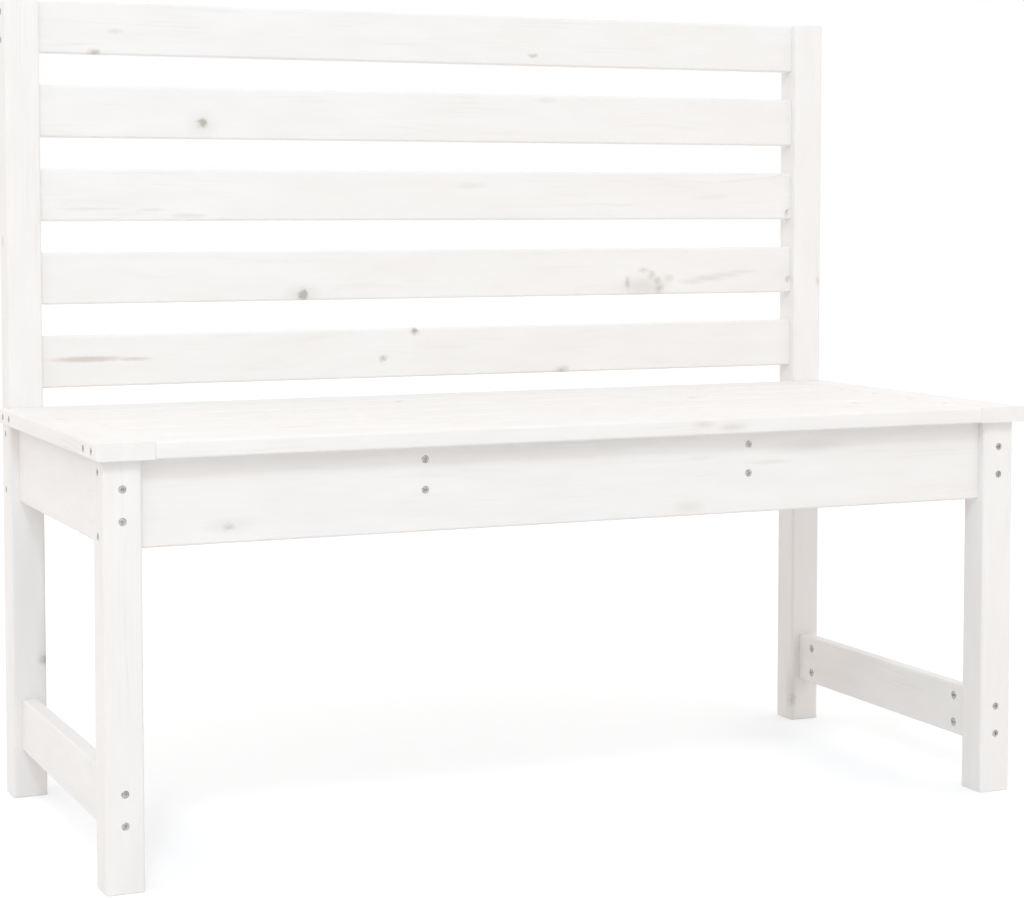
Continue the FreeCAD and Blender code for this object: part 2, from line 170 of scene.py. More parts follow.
def length(name, description, millimetres):
    """A length that shows in the sidebar."""
    return FloatProperty(name=name, description=description, default=millimetres * MM, min=0,
                         subtype="DISTANCE", unit="LENGTH", precision=4)


def colour(name, description, code):
    """A colour that shows in the sidebar."""
    return FloatVectorProperty(name=name, description=description, default=linear(code), size=4,
                               min=0, max=1, subtype="COLOR")


class BenchTimber(bpy.types.PropertyGroup):
    """Sizes and colours of the wood."""
    board_edge: length("Board edge", "Rounding of the long edges of the boards", 3)
    leg_edge: length("Leg edge", "Rounding of the long edges of the legs and posts", 4)
    end_edge: length("End edge", "Easing of the sawn ends", 0.5)
    edge_steps: IntProperty(name="Edge steps", description="Facets across a rounded edge", default=5, min=1)
    tenon_length: length("Tenon length", "Stub tenons of the slats and the inner seat boards", 12)
    tenon_thickness: length("Tenon thickness", "Thickness of the stub tenons", 8)
    tenon_shoulder: length("Tenon shoulder", "Shoulder beside a stub tenon", 8)
    play: length("Play", "Play round tenons and posts", 0.2)
    ring_width: length("Ring width", "Distance between two growth rings", 5)
    paint: colour("Paint", "White wood paint", "F3F2F1")
    grain: colour("Grain", "Paint over the hard late wood of a growth ring", "DFDBD8")
    # This grey also colours the painted shade under the seat's front edge
    shadow: colour("Shadow", "Grey wood round a knot under the paint", "D3CFCB")
    core: colour("Knot core", "Dark heart of a knot under the paint", "B0ADA4")
    resin: colour("Resin streak", "Reddish streak of resin under the paint", "CBBDB9")


class BenchFixings(bpy.types.PropertyGroup):
    """Sizes and colours of the bolts, barrel nuts and screws."""
    bolt: length("Bolt", "Diameter of a bolt's shank", 6)
    bolt_head: length("Bolt head", "Diameter of a bolt's head", 7.8)
    bolt_head_height: length("Bolt head height", "Height of a bolt's head", 5)
    bolt_socket: length("Bolt socket", "Corner to corner of the hexagon socket", 3.4)
    bolt_grip: length("Bolt grip", "Bolt inside the end of a board", 41)
    pitch: length("Pitch", "Distance between the two fasteners of a joint", 32)
    barrel: length("Barrel nut", "Diameter of a barrel nut", 10)
    barrel_length: length("Barrel length", "Length of a barrel nut", 16.6)
    barrel_inset: length("Barrel inset", "End of a board to the middle of its barrel nut", 32)
    screw: length("Screw", "Diameter of a screw's shank", 5)
    screw_head: length("Screw head", "Diameter of a screw's head", 8)
    screw_head_height: length("Screw head height", "Height of a screw's head", 3)
    corner_grip: length("Corner screw grip", "Screw inside the front or rear seat board", 32)
    seat_land: length("Seat screw land", "Bearer wood above the head of a seat screw", 30)
    seat_grip: length("Seat screw grip", "Screw inside an inner seat board", 12)
    play: length("Play", "Play round a fastener", 0.1)
    steel: colour("Steel", "Zinc plating", "C6C5C2")
    tarnish: colour("Tarnish", "Dull patches of the plating", "A09E9A")


class BenchStudio(bpy.types.PropertyGroup):
    """Camera, light and floor."""
    eye: FloatVectorProperty(name="Eye", description="Place of the camera", subtype="TRANSLATION",
                             unit="LENGTH", default=(-1.1051, -2.5081, 0.6814))
    turn: FloatProperty(name="Turn", description="Turn of the camera to the right", subtype="ANGLE",
                        default=math.radians(23.83))
    tilt: FloatProperty(name="Tilt", description="Tilt of the camera below level", subtype="ANGLE",
                        default=math.radians(3.4))
    lens: FloatProperty(name="Lens", description="Focal length in millimetres", unit="CAMERA",
                        default=83.76)
    rise: FloatProperty(name="Rise", description="Vertical shift of the lens", default=-0.1)
    sky: FloatProperty(name="Sky", description="Level of the light from the horizon and the ceiling",
                       default=0.62, min=0)
    ring: FloatProperty(name="Ring", description="Level of the ring of soft light all around",
                        default=1.57, min=0)
    ring_height: FloatProperty(name="Ring height", description="Height of the ring above the horizon",
                               subtype="ANGLE", default=math.radians(33.5))
    ring_core: FloatProperty(name="Ring core", description="Sine off its middle where it starts to fade",
                             default=0.12, min=0)
    ring_edge: FloatProperty(name="Ring edge", description="Sine off its middle where it has faded out",
                             default=0.32, min=0)
    key: FloatProperty(name="Key", description="Soft box high in front, on the left", default=28, min=0,
                       unit="POWER")
    key_size: length("Key size", "Side of the soft box", 500)
    key_place: FloatVectorProperty(name="Key place", description="Place of the soft box",
                                   subtype="TRANSLATION", unit="LENGTH", default=(-1.56, -2.81, 3.16))
    sky_tint: colour("Sky tint", "Slightly warm light from all around", "FFFAF7")
    key_tint: colour("Key tint", "Cool light of the soft box", "D6F2FF")
    glow: FloatProperty(name="Floor glow", description="Lifts the floor to white for the eye",
                        default=0.28, min=0)
    glow_tint: colour("Glow tint", "Evens out the warm light on the floor", "EEF8FF")
    floor: colour("Floor", "Pale studio floor", "E7E7E7")
    floor_size: length("Floor size", "Side of the floor", 80000)
    floor_drop: length("Floor drop", "Floor below the feet", 0.2)


def timber():
    """Sizes and colours of the wood."""
    return bpy.context.scene.bench_timber


def fixings():
    """Sizes and colours of the fasteners."""
    return bpy.context.scene.bench_fixings


def studio():
    """Values of the studio."""
    return bpy.context.scene.bench_studio


# Materials

# Sockets of a Mix node that mixes colours
AMOUNT, FIRST, SECOND = 0, 6, 7
# All sizes of the patterns are in mm. A pair is a length along the grain and a width across it.
# Growth rings: the bends in which they wander, how far they sway there and how far a knot pushes them aside
RING_BENDS = (320, 45)
RING_SWAY = 34
RING_PUSH = 14
# Patches in which the rings show, fibres, and clouds of thick and thin paint
RING_PATCHES = (150, 16)
FIBRES = (45, 1.8)
PAINT_CLOUDS = (110, 28)
# Ragged outlines: the size of their bits, and how far these move the edge of a knot and of a shadow
RAGGED_BITS = 7
RAGGED_KNOT = 9
RAGGED_SHADOW = 2.5
# Dull clouds on the steel
STEEL_CLOUDS = 2.5
# How far each mark shows through the paint, from 0 to 1
CLOUDS_SHOW, FIBRES_SHOW, RINGS_SHOW = 0.24, 0.07, 0.32
STREAKS_SHOW, HALOS_SHOW, HEARTS_SHOW = 0.7, 0.6, 0.85


def add_node(tree, kind, inputs=None, **settings):
    """Add a node with its settings, and set its inputs or link them to sockets or other nodes' results."""
    node = tree.nodes.new(kind)
    for name, value in settings.items():
        setattr(node, name, value)
    for socket, value in (inputs or {}).items():
        if isinstance(value, bpy.types.Node):
            value = next(output for output in value.outputs if output.enabled)
        if isinstance(value, bpy.types.NodeSocket):
            tree.links.new(value, node.inputs[socket])
        else:
            node.inputs[socket].default_value = value
    return node


def start_material(name):
    """Make an empty material with a tree for its nodes."""
    material = bpy.data.materials.new(name)
    material.use_nodes = True
    material.node_tree.nodes.clear()
    return material, material.node_tree


def spot_field(tree, place, spots):
    """A field that is 0 off the spots and rises to each one's strength at its centre."""
    field = 0.0
    for centre, radii, strength in spots:
        local = add_node(tree, "ShaderNodeMapping", {"Vector": place, "Location": Vector(centre) * MM,
                                                     "Scale": Vector(radii) * MM}, vector_type="TEXTURE")
        away = add_node(tree, "ShaderNodeVectorMath", {0: local}, operation="LENGTH")
        spot = add_node(tree, "ShaderNodeMapRange", {"Value": away, "From Min": 0.15, "From Max": 1.0,
                                                     "To Min": strength, "To Max": 0.0},
                        interpolation_type="SMOOTHSTEP")
        field = add_node(tree, "ShaderNodeMath", {0: field, 1: spot}, operation="MAXIMUM")
    return field


def grain_noise(tree, grain, size, detail):
    """Noise of a length along the grain and a width across it."""
    along, across = (1 / (value * MM) for value in size)
    fitted = add_node(tree, "ShaderNodeMapping", {"Vector": grain, "Scale": (along, across, across)})
    return add_node(tree, "ShaderNodeTexNoise", {"Vector": fitted, "Scale": 1.0, "Detail": detail})


def painted_pine():
    """White painted pine: planed boards under one thin coat of matt paint.

    The eye gets an almost white surface with faint long grain, small dark knots that the paint hides only
    in part, and a soft broad sheen. The growth rings are drawn wider and the fibres coarser than real ones,
    so that they show at this size.
    """
    name = "White painted pine"
    if name in bpy.data.materials:
        return bpy.data.materials[name]
    wood = timber()
    material, tree = start_material(name)
    grain = add_node(tree, "ShaderNodeAttribute", attribute_name="grain").outputs["Vector"]
    place = add_node(tree, "ShaderNodeTexCoord").outputs["Object"]

    # Knots with ragged outlines; grey shadows in the wood, among them one painted shade under the seat's
    # front edge; and resin streaks with soft outlines
    ragged = add_node(tree, "ShaderNodeTexNoise",
                      {"Vector": place, "Scale": 1 / (RAGGED_BITS * MM), "Detail": 3.0})
    centred = add_node(tree, "ShaderNodeVectorMath", {0: ragged.outputs["Color"], 1: (0.5, 0.5, 0.5)},
                       operation="SUBTRACT")
    nudge = add_node(tree, "ShaderNodeVectorMath", {0: centred, "Scale": RAGGED_KNOT * MM},
                     operation="SCALE")
    uneven = add_node(tree, "ShaderNodeVectorMath", {0: place, 1: nudge}, operation="ADD")
    knots = spot_field(tree, uneven, KNOTS)
    drift = add_node(tree, "ShaderNodeVectorMath", {0: centred, "Scale": RAGGED_SHADOW * MM},
                     operation="SCALE")
    drifted = add_node(tree, "ShaderNodeVectorMath", {0: place, 1: drift}, operation="ADD")
    # The grey shadows hold one painted shade too, at the top of the front apron under the seat's front edge
    shadows = spot_field(tree, drifted, SHADOWS)
    streaks = spot_field(tree, drifted, STREAKS)

    # Growth rings round the pith, which wander along the board and are pushed aside by knots
    parts = add_node(tree, "ShaderNodeSeparateXYZ", {0: grain})
    section = add_node(tree, "ShaderNodeCombineXYZ", {"Y": parts.outputs["Y"], "Z": parts.outputs["Z"]})
    radius = add_node(tree, "ShaderNodeVectorMath", {0: section}, operation="LENGTH")
    bends = grain_noise(tree, grain, RING_BENDS, 3.0)
    wander = add_node(tree, "ShaderNodeMath", {0: bends, 1: RING_SWAY * MM, 2: radius},
                      operation="MULTIPLY_ADD")
    pushed = add_node(tree, "ShaderNodeMath", {0: shadows, 1: RING_PUSH * MM, 2: wander},
                      operation="MULTIPLY_ADD")
    phase = add_node(tree, "ShaderNodeMath", {0: pushed, 1: 2 * math.pi / wood.ring_width},
                     operation="MULTIPLY")
    wave = add_node(tree, "ShaderNodeMath", {0: phase}, operation="SINE")
    late_wood = add_node(tree, "ShaderNodeMapRange", {"Value": wave, "From Min": 0.1, "From Max": 1.0},
                         interpolation_type="SMOOTHSTEP")
    patches = add_node(tree, "ShaderNodeMapRange", {"Value": grain_noise(tree, grain, RING_PATCHES, 3.0),
                                                    "From Min": 0.5, "From Max": 0.8},
                       interpolation_type="SMOOTHSTEP")
    rings = add_node(tree, "ShaderNodeMath", {0: late_wood, 1: patches}, operation="MULTIPLY")
    fibres = add_node(tree, "ShaderNodeMapRange", {"Value": grain_noise(tree, grain, FIBRES, 1.0),
                                                   "From Min": 0.5, "From Max": 0.85},
                      interpolation_type="SMOOTHSTEP")

    # Paint that covers all of it unevenly
    cloud = add_node(tree, "ShaderNodeMapRange", {"Value": grain_noise(tree, grain, PAINT_CLOUDS, 3.0),
                                                  "From Min": 0.3, "From Max": 0.75, "To Max": CLOUDS_SHOW})
    veiled = add_node(tree, "ShaderNodeMath", {0: fibres, 1: FIBRES_SHOW, 2: cloud},
                      operation="MULTIPLY_ADD")
    shade = add_node(tree, "ShaderNodeMath", {0: rings, 1: RINGS_SHOW, 2: veiled}, operation="MULTIPLY_ADD")
    painted = add_node(tree, "ShaderNodeMix", {AMOUNT: shade, FIRST: wood.paint, SECOND: wood.grain},
                       data_type="RGBA")
    stain = add_node(tree, "ShaderNodeMapRange", {"Value": streaks, "To Max": STREAKS_SHOW},
                     interpolation_type="SMOOTHSTEP")
    stained = add_node(tree, "ShaderNodeMix", {AMOUNT: stain, FIRST: painted, SECOND: wood.resin},
                       data_type="RGBA")
    dimmed = add_node(tree, "ShaderNodeMix", {AMOUNT: shadows, FIRST: stained, SECOND: wood.shadow},
                      data_type="RGBA")
    halo = add_node(tree, "ShaderNodeMapRange", {"Value": knots, "From Max": 0.5, "To Max": HALOS_SHOW},
                    interpolation_type="SMOOTHSTEP")
    haloed = add_node(tree, "ShaderNodeMix", {AMOUNT: halo, FIRST: dimmed, SECOND: wood.shadow},
                      data_type="RGBA")
    heart = add_node(tree, "ShaderNodeMapRange", {"Value": knots, "From Min": 0.4, "From Max": 0.85,
                                                  "To Max": HEARTS_SHOW},
                     interpolation_type="SMOOTHSTEP")
    knotted = add_node(tree, "ShaderNodeMix", {AMOUNT: heart, FIRST: haloed, SECOND: wood.core},
                       data_type="RGBA")

    # The brush leaves the fibres felt, so they alone make the relief
    relief = add_node(tree, "ShaderNodeBump", {"Strength": 0.25, "Distance": 0.25 * MM, "Height": fibres})
    matt = add_node(tree, "ShaderNodeMapRange", {"Value": fibres, "To Min": 0.48, "To Max": 0.6})
    shader = add_node(tree, "ShaderNodeBsdfPrincipled", {"Base Color": knotted, "Roughness": matt,
                                                         "IOR": 1.45, "Normal": relief})
    add_node(tree, "ShaderNodeOutputMaterial", {"Surface": shader})
    return material


def zinc_steel():
    """Zinc plated steel: turned and tumbled, so it gives a dull grey with cloudy patches and no mirror."""
    name = "Zinc plated steel"
    if name in bpy.data.materials:
        return bpy.data.materials[name]
    metal = fixings()
    material, tree = start_material(name)
    place = add_node(tree, "ShaderNodeTexCoord").outputs["Object"]
    clouds = add_node(tree, "ShaderNodeTexNoise",
                      {"Vector": place, "Scale": 1 / (STEEL_CLOUDS * MM), "Detail": 3.0})
    dull = add_node(tree, "ShaderNodeMapRange", {"Value": clouds, "From Min": 0.4, "From Max": 0.68},
                    interpolation_type="SMOOTHSTEP")
    plating = add_node(tree, "ShaderNodeMix", {AMOUNT: dull, FIRST: metal.steel, SECOND: metal.tarnish},
                       data_type="RGBA")
    matt = add_node(tree, "ShaderNodeMapRange", {"Value": dull, "To Min": 0.34, "To Max": 0.5})
    shader = add_node(tree, "ShaderNodeBsdfPrincipled", {"Base Color": plating, "Metallic": 1.0,
                                                         "Roughness": matt})
    add_node(tree, "ShaderNodeOutputMaterial", {"Surface": shader})
    return material


# Modelling

def corners(node):
    """Lowest and highest corner of a node of the frame."""
    low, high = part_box(node)
    return Vector(low), Vector(high)


def middle(node):
    """Middle of a node of the frame."""
    low, high = corners(node)
    return (low + high) / 2


def clear_selection():
    """Go to object mode with nothing selected."""
    if bpy.context.mode != "OBJECT":
        bpy.ops.object.mode_set(mode="OBJECT")
    bpy.ops.object.select_all(action="DESELECT")


def pick_edges(piece, wanted):
    """Enter edit mode with only those edges selected that a test of their two ends picks."""
    bpy.ops.object.mode_set(mode="EDIT")
    bpy.ops.mesh.select_mode(type="EDGE")
    bpy.ops.mesh.select_all(action="DESELECT")
    shape = bmesh.from_edit_mesh(piece.data)
    for edge in shape.edges:
        edge.select_set(wanted(*(corner.co for corner in edge.verts)))
    shape.select_flush_mode()
    bmesh.update_edit_mesh(piece.data)


def add_box(name, low, high):
    """Add a box between two corners."""
    clear_selection()
    bpy.ops.mesh.primitive_cube_add(size=1, location=(low + high) / 2, scale=high - low)
    bpy.ops.object.transform_apply(location=True, rotation=True, scale=True)
    piece = bpy.context.object
    piece.name = name
    return piece


def combine(piece, tool, operation="DIFFERENCE"):
    """Cut a tool out of a piece, or unite the two, and remove the tool."""
    clear_selection()
    bpy.context.view_layer.objects.active = piece
    piece.select_set(True)
    modifier = piece.modifiers.new("Combine", "BOOLEAN")
    modifier.operation = operation
    modifier.solver = "EXACT"
    modifier.object = tool
    bpy.ops.object.modifier_apply(modifier=modifier.name)
    bpy.data.objects.remove(tool)


def add_board(name, low, high, run, edge, is_joint=lambda corner: False):
    """Add a board with rounded long edges and eased ends.

    Run is the axis that it lies along, and a long edge on a joint with other boards stays sharp.
    """
    wood = timber()
    board = add_box(name, low, high)
    pick_edges(board, lambda a, b: abs(b[run] - a[run]) > TOUCHING and not is_joint(a))
    bpy.ops.mesh.bevel(offset_type="OFFSET", offset=edge, segments=wood.edge_steps, affect="EDGES")

    def in_sawn_end(a, b):
        """Whether an edge lies in one of the two ends."""
        return any(max(abs(a[run] - end), abs(b[run] - end)) < TOUCHING for end in (low[run], high[run]))

    pick_edges(board, in_sawn_end)
    bpy.ops.mesh.bevel(offset_type="OFFSET", offset=wood.end_edge, segments=2, affect="EDGES")
    bpy.ops.object.mode_set(mode="OBJECT")
    return board


def turned(name, profile, facets=32):
    """Turn a round shape on +Z: a disc that is extruded and resized along a profile of steps in mm."""
    clear_selection()
    (along, radius), *steps = profile
    bpy.ops.mesh.primitive_circle_add(vertices=facets, radius=radius * MM, fill_type="NGON",
                                      location=UP * along * MM)
    bpy.ops.object.transform_apply(location=True, rotation=True, scale=True)
    piece = bpy.context.object
    piece.name = name
    bpy.ops.object.mode_set(mode="EDIT")
    bpy.ops.mesh.select_all(action="SELECT")
    for next_along, next_radius in steps:
        bpy.ops.mesh.extrude_region_move(TRANSFORM_OT_translate={"value": UP * (next_along - along) * MM})
        bpy.ops.transform.resize(value=(next_radius / radius,) * 3, center_override=UP * next_along * MM)
        along, radius = next_along, next_radius
    bpy.ops.mesh.select_all(action="SELECT")
    bpy.ops.mesh.normals_make_consistent(inside=False)
    bpy.ops.object.mode_set(mode="OBJECT")
    return piece


def copies(name, master, places):
    """Place copies of a shape, each from its start along its way, and join them to one piece."""
    placed = []
    for start, way in places:
        copy = master.copy()
        copy.data = master.data.copy()
        copy.location = start
        copy.rotation_euler = way.to_track_quat("Z", "Y").to_euler()
        bpy.context.scene.collection.objects.link(copy)
        placed.append(copy)
    bpy.data.objects.remove(master)
    clear_selection()
    for copy in placed:
        copy.select_set(True)
    bpy.context.view_layer.objects.active = placed[0]
    bpy.ops.object.transform_apply(location=True, rotation=True, scale=True)
    if len(placed) > 1:
        bpy.ops.object.join()
    piece = bpy.context.object
    piece.name = name
    return piece


# Fasteners: where they go, what they look like and the room they need

# In mm: how far heads are sunk in the wood, how wide the ring at the rim of a flat face is, how far outside
# the wood a cutting shape starts, and how deep the straight rim of a screw's head reaches
SUNK = 0.1
RIM = 0.1
OUTSIDE = 1
SCREW_RIM = 0.7


def both(value, spread):
    """The values above and below a middle."""
    return value + spread, value - spread


def facing_y(x, front, rear, heights):
    """Places on a front face going back and on a rear face going forward, on both sides."""
    return [(Vector((side * x, y, z)), way) for side in (LEFT, RIGHT)
            for y, way in ((front, Y_WAY), (rear, -Y_WAY)) for z in heights]


def facing_x(x, rows, heights):
    """Places on the outer faces at both ends of the bench, going inward."""
    return [(Vector((side * x, y, z)), -side * X_WAY)
            for side in (LEFT, RIGHT) for y in rows for z in heights]


def fastener_places():
    """Start and way of every fastener, by group."""
    fix = fixings()
    half = fix.pitch / 2
    leg = middle("right_front_leg")
    post = middle("right_rear_post")
    apron = middle("right_side_apron")
    stretcher = middle("right_stretcher")
    bearer = middle("right_seat_bearer")
    slat = middle("back_slat_1")
    outer_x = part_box("right_front_leg")[1][X]
    inner_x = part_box("right_front_leg")[0][X]
    front_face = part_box("right_front_leg")[0][Y]
    rear_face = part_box("right_rear_post")[1][Y]
    board_half = (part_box("front_apron")[1][Y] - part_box("front_apron")[0][Y]) / 2
    seat_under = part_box("seat_front_board")[0][Z]
    corner_rows = [y for board in OUTER_SEAT_BOARDS for y in both(middle(board)[Y], half)]
    rail_rows = both(apron[Y], (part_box("right_side_apron")[1][Y] - apron[Y]) - fix.barrel_inset)
    bearer_rows = both(bearer[Y], (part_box("right_seat_bearer")[1][Y] - bearer[Y]) - fix.barrel_inset)
    barrel_x = inner_x - fix.barrel_inset

    def in_sides(x, rows, heights):
        """Barrel nuts in the inner faces of boards that run front to back."""
        return [(Vector((side * (x - board_half), y, z)), side * X_WAY)
                for side in (LEFT, RIGHT) for y in rows for z in heights]

    return {
        "side_apron_bolts": facing_y(leg[X], front_face, rear_face, both(apron[Z], half)),
        "stretcher_bolts": facing_y(leg[X], front_face, rear_face, both(stretcher[Z], half)),
        "long_apron_bolts": facing_x(outer_x, (leg[Y], post[Y]), both(apron[Z], fix.pitch)),
        "top_slat_bolts": facing_x(outer_x, (post[Y],), both(slat[Z], half)),
        "bearer_bolts": facing_y(bearer[X], leg[Y] - board_half, post[Y] + board_half,
                                 both(bearer[Z], half)),
        "seat_corner_screws": facing_x(CAD_BOX[1][X], corner_rows, (seat_under + board_half,)),
        "seat_board_screws": [(Vector((side * bearer[X], middle(board)[Y], seat_under - fix.seat_land)), UP)
                              for side in (LEFT, RIGHT) for board in INNER_SEAT_BOARDS],
        "stretcher_barrel_nuts": in_sides(leg[X], rail_rows, both(stretcher[Z], half)),
        "side_apron_barrel_nuts": in_sides(leg[X], rail_rows, both(apron[Z], half)),
        "bearer_barrel_nuts": in_sides(bearer[X], bearer_rows, both(bearer[Z], half)),
        "long_apron_barrel_nuts": [(Vector((side * barrel_x, y, z)), way) for side in (LEFT, RIGHT)
                                   for y, way in ((leg[Y] + board_half, -Y_WAY),
                                                  (post[Y] - board_half, Y_WAY))
                                   for z in both(apron[Z], fix.pitch)],
        "top_slat_barrel_nuts": [(Vector((side * barrel_x, post[Y] + board_half, z)), -Y_WAY)
                                 for side in (LEFT, RIGHT) for z in both(slat[Z], half)],
    }


def reach(group):
    """Length in mm of the fasteners of a group."""
    fix = fixings()
    leg_low, leg_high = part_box("right_front_leg")
    apron_low, apron_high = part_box("front_apron")
    end_low, end_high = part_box("right_seat_end_board")
    metres = {
        "bearer_bolts": apron_high[Y] - apron_low[Y] + fix.bolt_grip,
        "seat_corner_screws": end_high[X] - end_low[X] + fix.corner_grip,
        "seat_board_screws": fix.seat_land + fix.seat_grip,
    }.get(group, leg_high[X] - leg_low[X] + fix.bolt_grip)
    return metres / MM


def fastener_groups(kind):
    """Places of the fasteners of one kind, by group."""
    return {group: places for group, places in fastener_places().items() if group.endswith(kind)}


def chamfered(start, radius, wide, high):
    """First steps of a turned shape: a face with a narrow ring that keeps it flat, and a chamfer."""
    return [(start, radius - wide - RIM), (start, radius - wide), (start + high, radius)]


def make_bolt(group):
    """A bolt with a chamfered cylinder head, a hexagon socket and a pointed end."""
    fix = fixings()
    head, shank, neck = fix.bolt_head / 2 / MM, fix.bolt / 2 / MM, fix.bolt_head_height / MM
    end = reach(group)
    point, taper = 1, 0.8
    bolt = turned("bolt", [*chamfered(SUNK, head, wide=0.5, high=0.4), (neck, head), (neck, shank),
                           (end - point, shank), (end, shank - taper)])
    socket = fix.bolt_socket / 2 / MM
    mouth, flare, depth, tip, tip_radius = 0.3, 0.6, 1.8, 2.4, 0.3
    combine(bolt, turned("socket", [(-OUTSIDE, socket + flare), (mouth, socket), (depth, socket),
                                    (tip, tip_radius)], facets=6))
    return bolt


def make_screw(group):
    """A countersunk screw with a cross recess and a pointed end."""
    fix = fixings()
    head, shank, neck = fix.screw_head / 2 / MM, fix.screw / 2 / MM, fix.screw_head_height / MM
    end = reach(group)
    point, taper, tip_radius = 5, 0.3, 0.2
    screw = turned("screw", [*chamfered(SUNK, head, wide=0.2, high=0.3), (SCREW_RIM, head), (neck, shank),
                             (end - point, shank - taper), (end, tip_radius)])
    cross, bar, depth = 4.6, 1, 2
    for wide, deep in ((cross, bar), (bar, cross)):
        size = Vector((wide / 2, deep / 2, depth)) * MM
        combine(screw, add_box("recess", -size, size))
    return screw


def barrel_depth():
    """Depth in mm of the room for a barrel nut, whose middle is the middle of the board."""
    low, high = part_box("front_apron")
    return (high[Y] - low[Y] + fixings().barrel_length) / 2 / MM


def make_barrel_nut(group):
    """A barrel nut with a screwdriver slot in its end and a bore across it for the bolt."""
    fix = fixings()
    radius = fix.barrel / 2 / MM
    end = barrel_depth()
    start = end - fix.barrel_length / MM
    chamfer, bolt_play = 0.6, 0.2
    barrel = turned("barrel", [*chamfered(start, radius, wide=chamfer, high=chamfer),
                               (end - chamfer, radius), (end, radius - chamfer)])
    slot_width, slot_depth = 1.4 * MM, 1.5 * MM
    slot = Vector((fix.barrel / 2, slot_width / 2, slot_depth))
    combine(barrel, add_box("slot", UP * start * MM - slot, UP * start * MM + slot))
    bore_radius = fix.bolt / 2 / MM + bolt_play
    bore = turned("bore", [(-radius - OUTSIDE, bore_radius), (radius + OUTSIDE, bore_radius)])
    across = X_WAY if group in ("long_apron_barrel_nuts", "top_slat_barrel_nuts") else Y_WAY
    combine(barrel, copies("bore", bore, [(UP * (start + end) / 2 * MM, across)]))
    return barrel


def make_room(group):
    """The hole for a fastener; that of a bolt or a barrel nut has a slightly broken edge."""
    fix = fixings()
    play = fix.play / MM

    def broken_edge(radius):
        """First steps of a hole that is wider at the face of the wood."""
        return [(-OUTSIDE, radius + OUTSIDE + SUNK), (SUNK, radius)]

    if group.endswith("barrel_nuts"):
        wide = fix.barrel / 2 / MM + play
        return turned("room", [*broken_edge(wide), (barrel_depth(), wide)])
    end = reach(group) + play
    if group.endswith("bolts"):
        wide, slim = fix.bolt_head / 2 / MM + play, fix.bolt / 2 / MM + play
        neck = fix.bolt_head_height / MM
        return turned("room", [*broken_edge(wide), (neck, wide), (neck, slim), (end, slim)])
    wide, slim = fix.screw_head / 2 / MM + play, fix.screw / 2 / MM + play
    neck = fix.screw_head_height / MM
    start, flare = -OUTSIDE, 0.1
    if group == "seat_board_screws":
        bearer_low, bearer_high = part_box("right_seat_bearer")
        start -= (bearer_high[Z] - bearer_low[Z] - fix.seat_land) / MM
    return turned("room", [(start, wide + flare), (0, wide), (SCREW_RIM, wide), (neck, slim), (end, slim)])


def drill(board, *groups):
    """Cut the room for every fastener of some groups out of a board."""
    places = fastener_places()
    for group in groups:
        combine(board, copies("room", make_room(group), places[group]))


def smooth(piece, angle):
    """Shade the edges that are flatter than an angle in degrees as round, and keep large faces flat."""
    clear_selection()
    piece.select_set(True)
    bpy.context.view_layer.objects.active = piece
    bpy.ops.object.shade_smooth_by_angle(angle=math.radians(angle))
    modifier = piece.modifiers.new("Flat faces", "WEIGHTED_NORMAL")
    modifier.keep_sharp = True
    bpy.ops.object.modifier_apply(modifier=modifier.name)


def finish_steel(piece, *nodes):
    """Smooth and plate a group of fasteners, which may stand for nodes of the frame."""
    smooth(piece, angle=35)
    piece.data.materials.clear()
    piece.data.materials.append(zinc_steel())
    piece.data.name = piece.name
    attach(piece, "root")
    if nodes:
        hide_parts(*nodes)


# Boards

# Least and most distance in mm from the middle of a board to the pith that its growth rings lie round, and
# how far in metres its pattern may be shifted along it, so that no two boards look alike
PITH_DISTANCE = (32, 75)
GRAIN_SHIFT = 40


def finish_wood(board, node, run):
    """Give a board its grain and paint and let it stand for its node of the frame.

    The grain runs along the board, about a pith at a place of the board's own.
    """
    across, through = (run + 1) % 3, (run + 2) % 3
    chance = random.Random(node)
    turn = chance.uniform(0, 2 * math.pi)
    distance = chance.uniform(*PITH_DISTANCE) * MM
    pith = middle(node)
    pith[across] += distance * math.cos(turn)
    pith[through] += distance * math.sin(turn)
    pith[run] += chance.uniform(-GRAIN_SHIFT, GRAIN_SHIFT)
    grain = board.data.attributes.new("grain", "FLOAT_VECTOR", "POINT")
    for vertex, item in zip(board.data.vertices, grain.data):
        away = vertex.co - pith
        item.vector = (away[run], away[across], away[through])
    smooth(board, angle=30)
    board.data.materials.clear()
    board.data.materials.append(painted_pine())
    board.data.name = board.name
    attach(board, "root")
    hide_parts(node)


def board_on(node, run, **shape):
    """Add a board in the box of a node."""
    low, high = corners(node)
    return add_board(f"{node}_wood", low, high, run, **{"edge": timber().board_edge, **shape})


def tenon_box(low, high, thin, play=0.0):
    """Corners of the tenons of a board, from end to end."""
    wood = timber()
    wide = ({Y, Z} - {thin}).pop()
    shrink = Vector((-play, 0, 0))
    shrink[thin] = (high[thin] - low[thin] - wood.tenon_thickness) / 2 - play
    shrink[wide] = wood.tenon_shoulder - play
    return low + shrink, high - shrink


def tenoned_board(node, thin):
    """Add a board along X with a stub tenon at each end; thin is the axis of its thickness."""
    wood = timber()
    low, high = corners(node)
    stub = wood.tenon_length * X_WAY
    board = add_board(f"{node}_wood", low + stub, high - stub, X, wood.board_edge)
    combine(board, add_box("tenon", *tenon_box(low, high, thin)), "UNION")
    return board


def cut_mortises(board, tenoned, thin):
    """Cut the room for the tenons of some boards out of a board that crosses their ends."""
    for node in tenoned:
        combine(board, add_box("mortise", *tenon_box(*corners(node), thin, timber().play)))


# Steps

class BenchStep:
    """What all the steps share."""
    bl_options = {"REGISTER"}


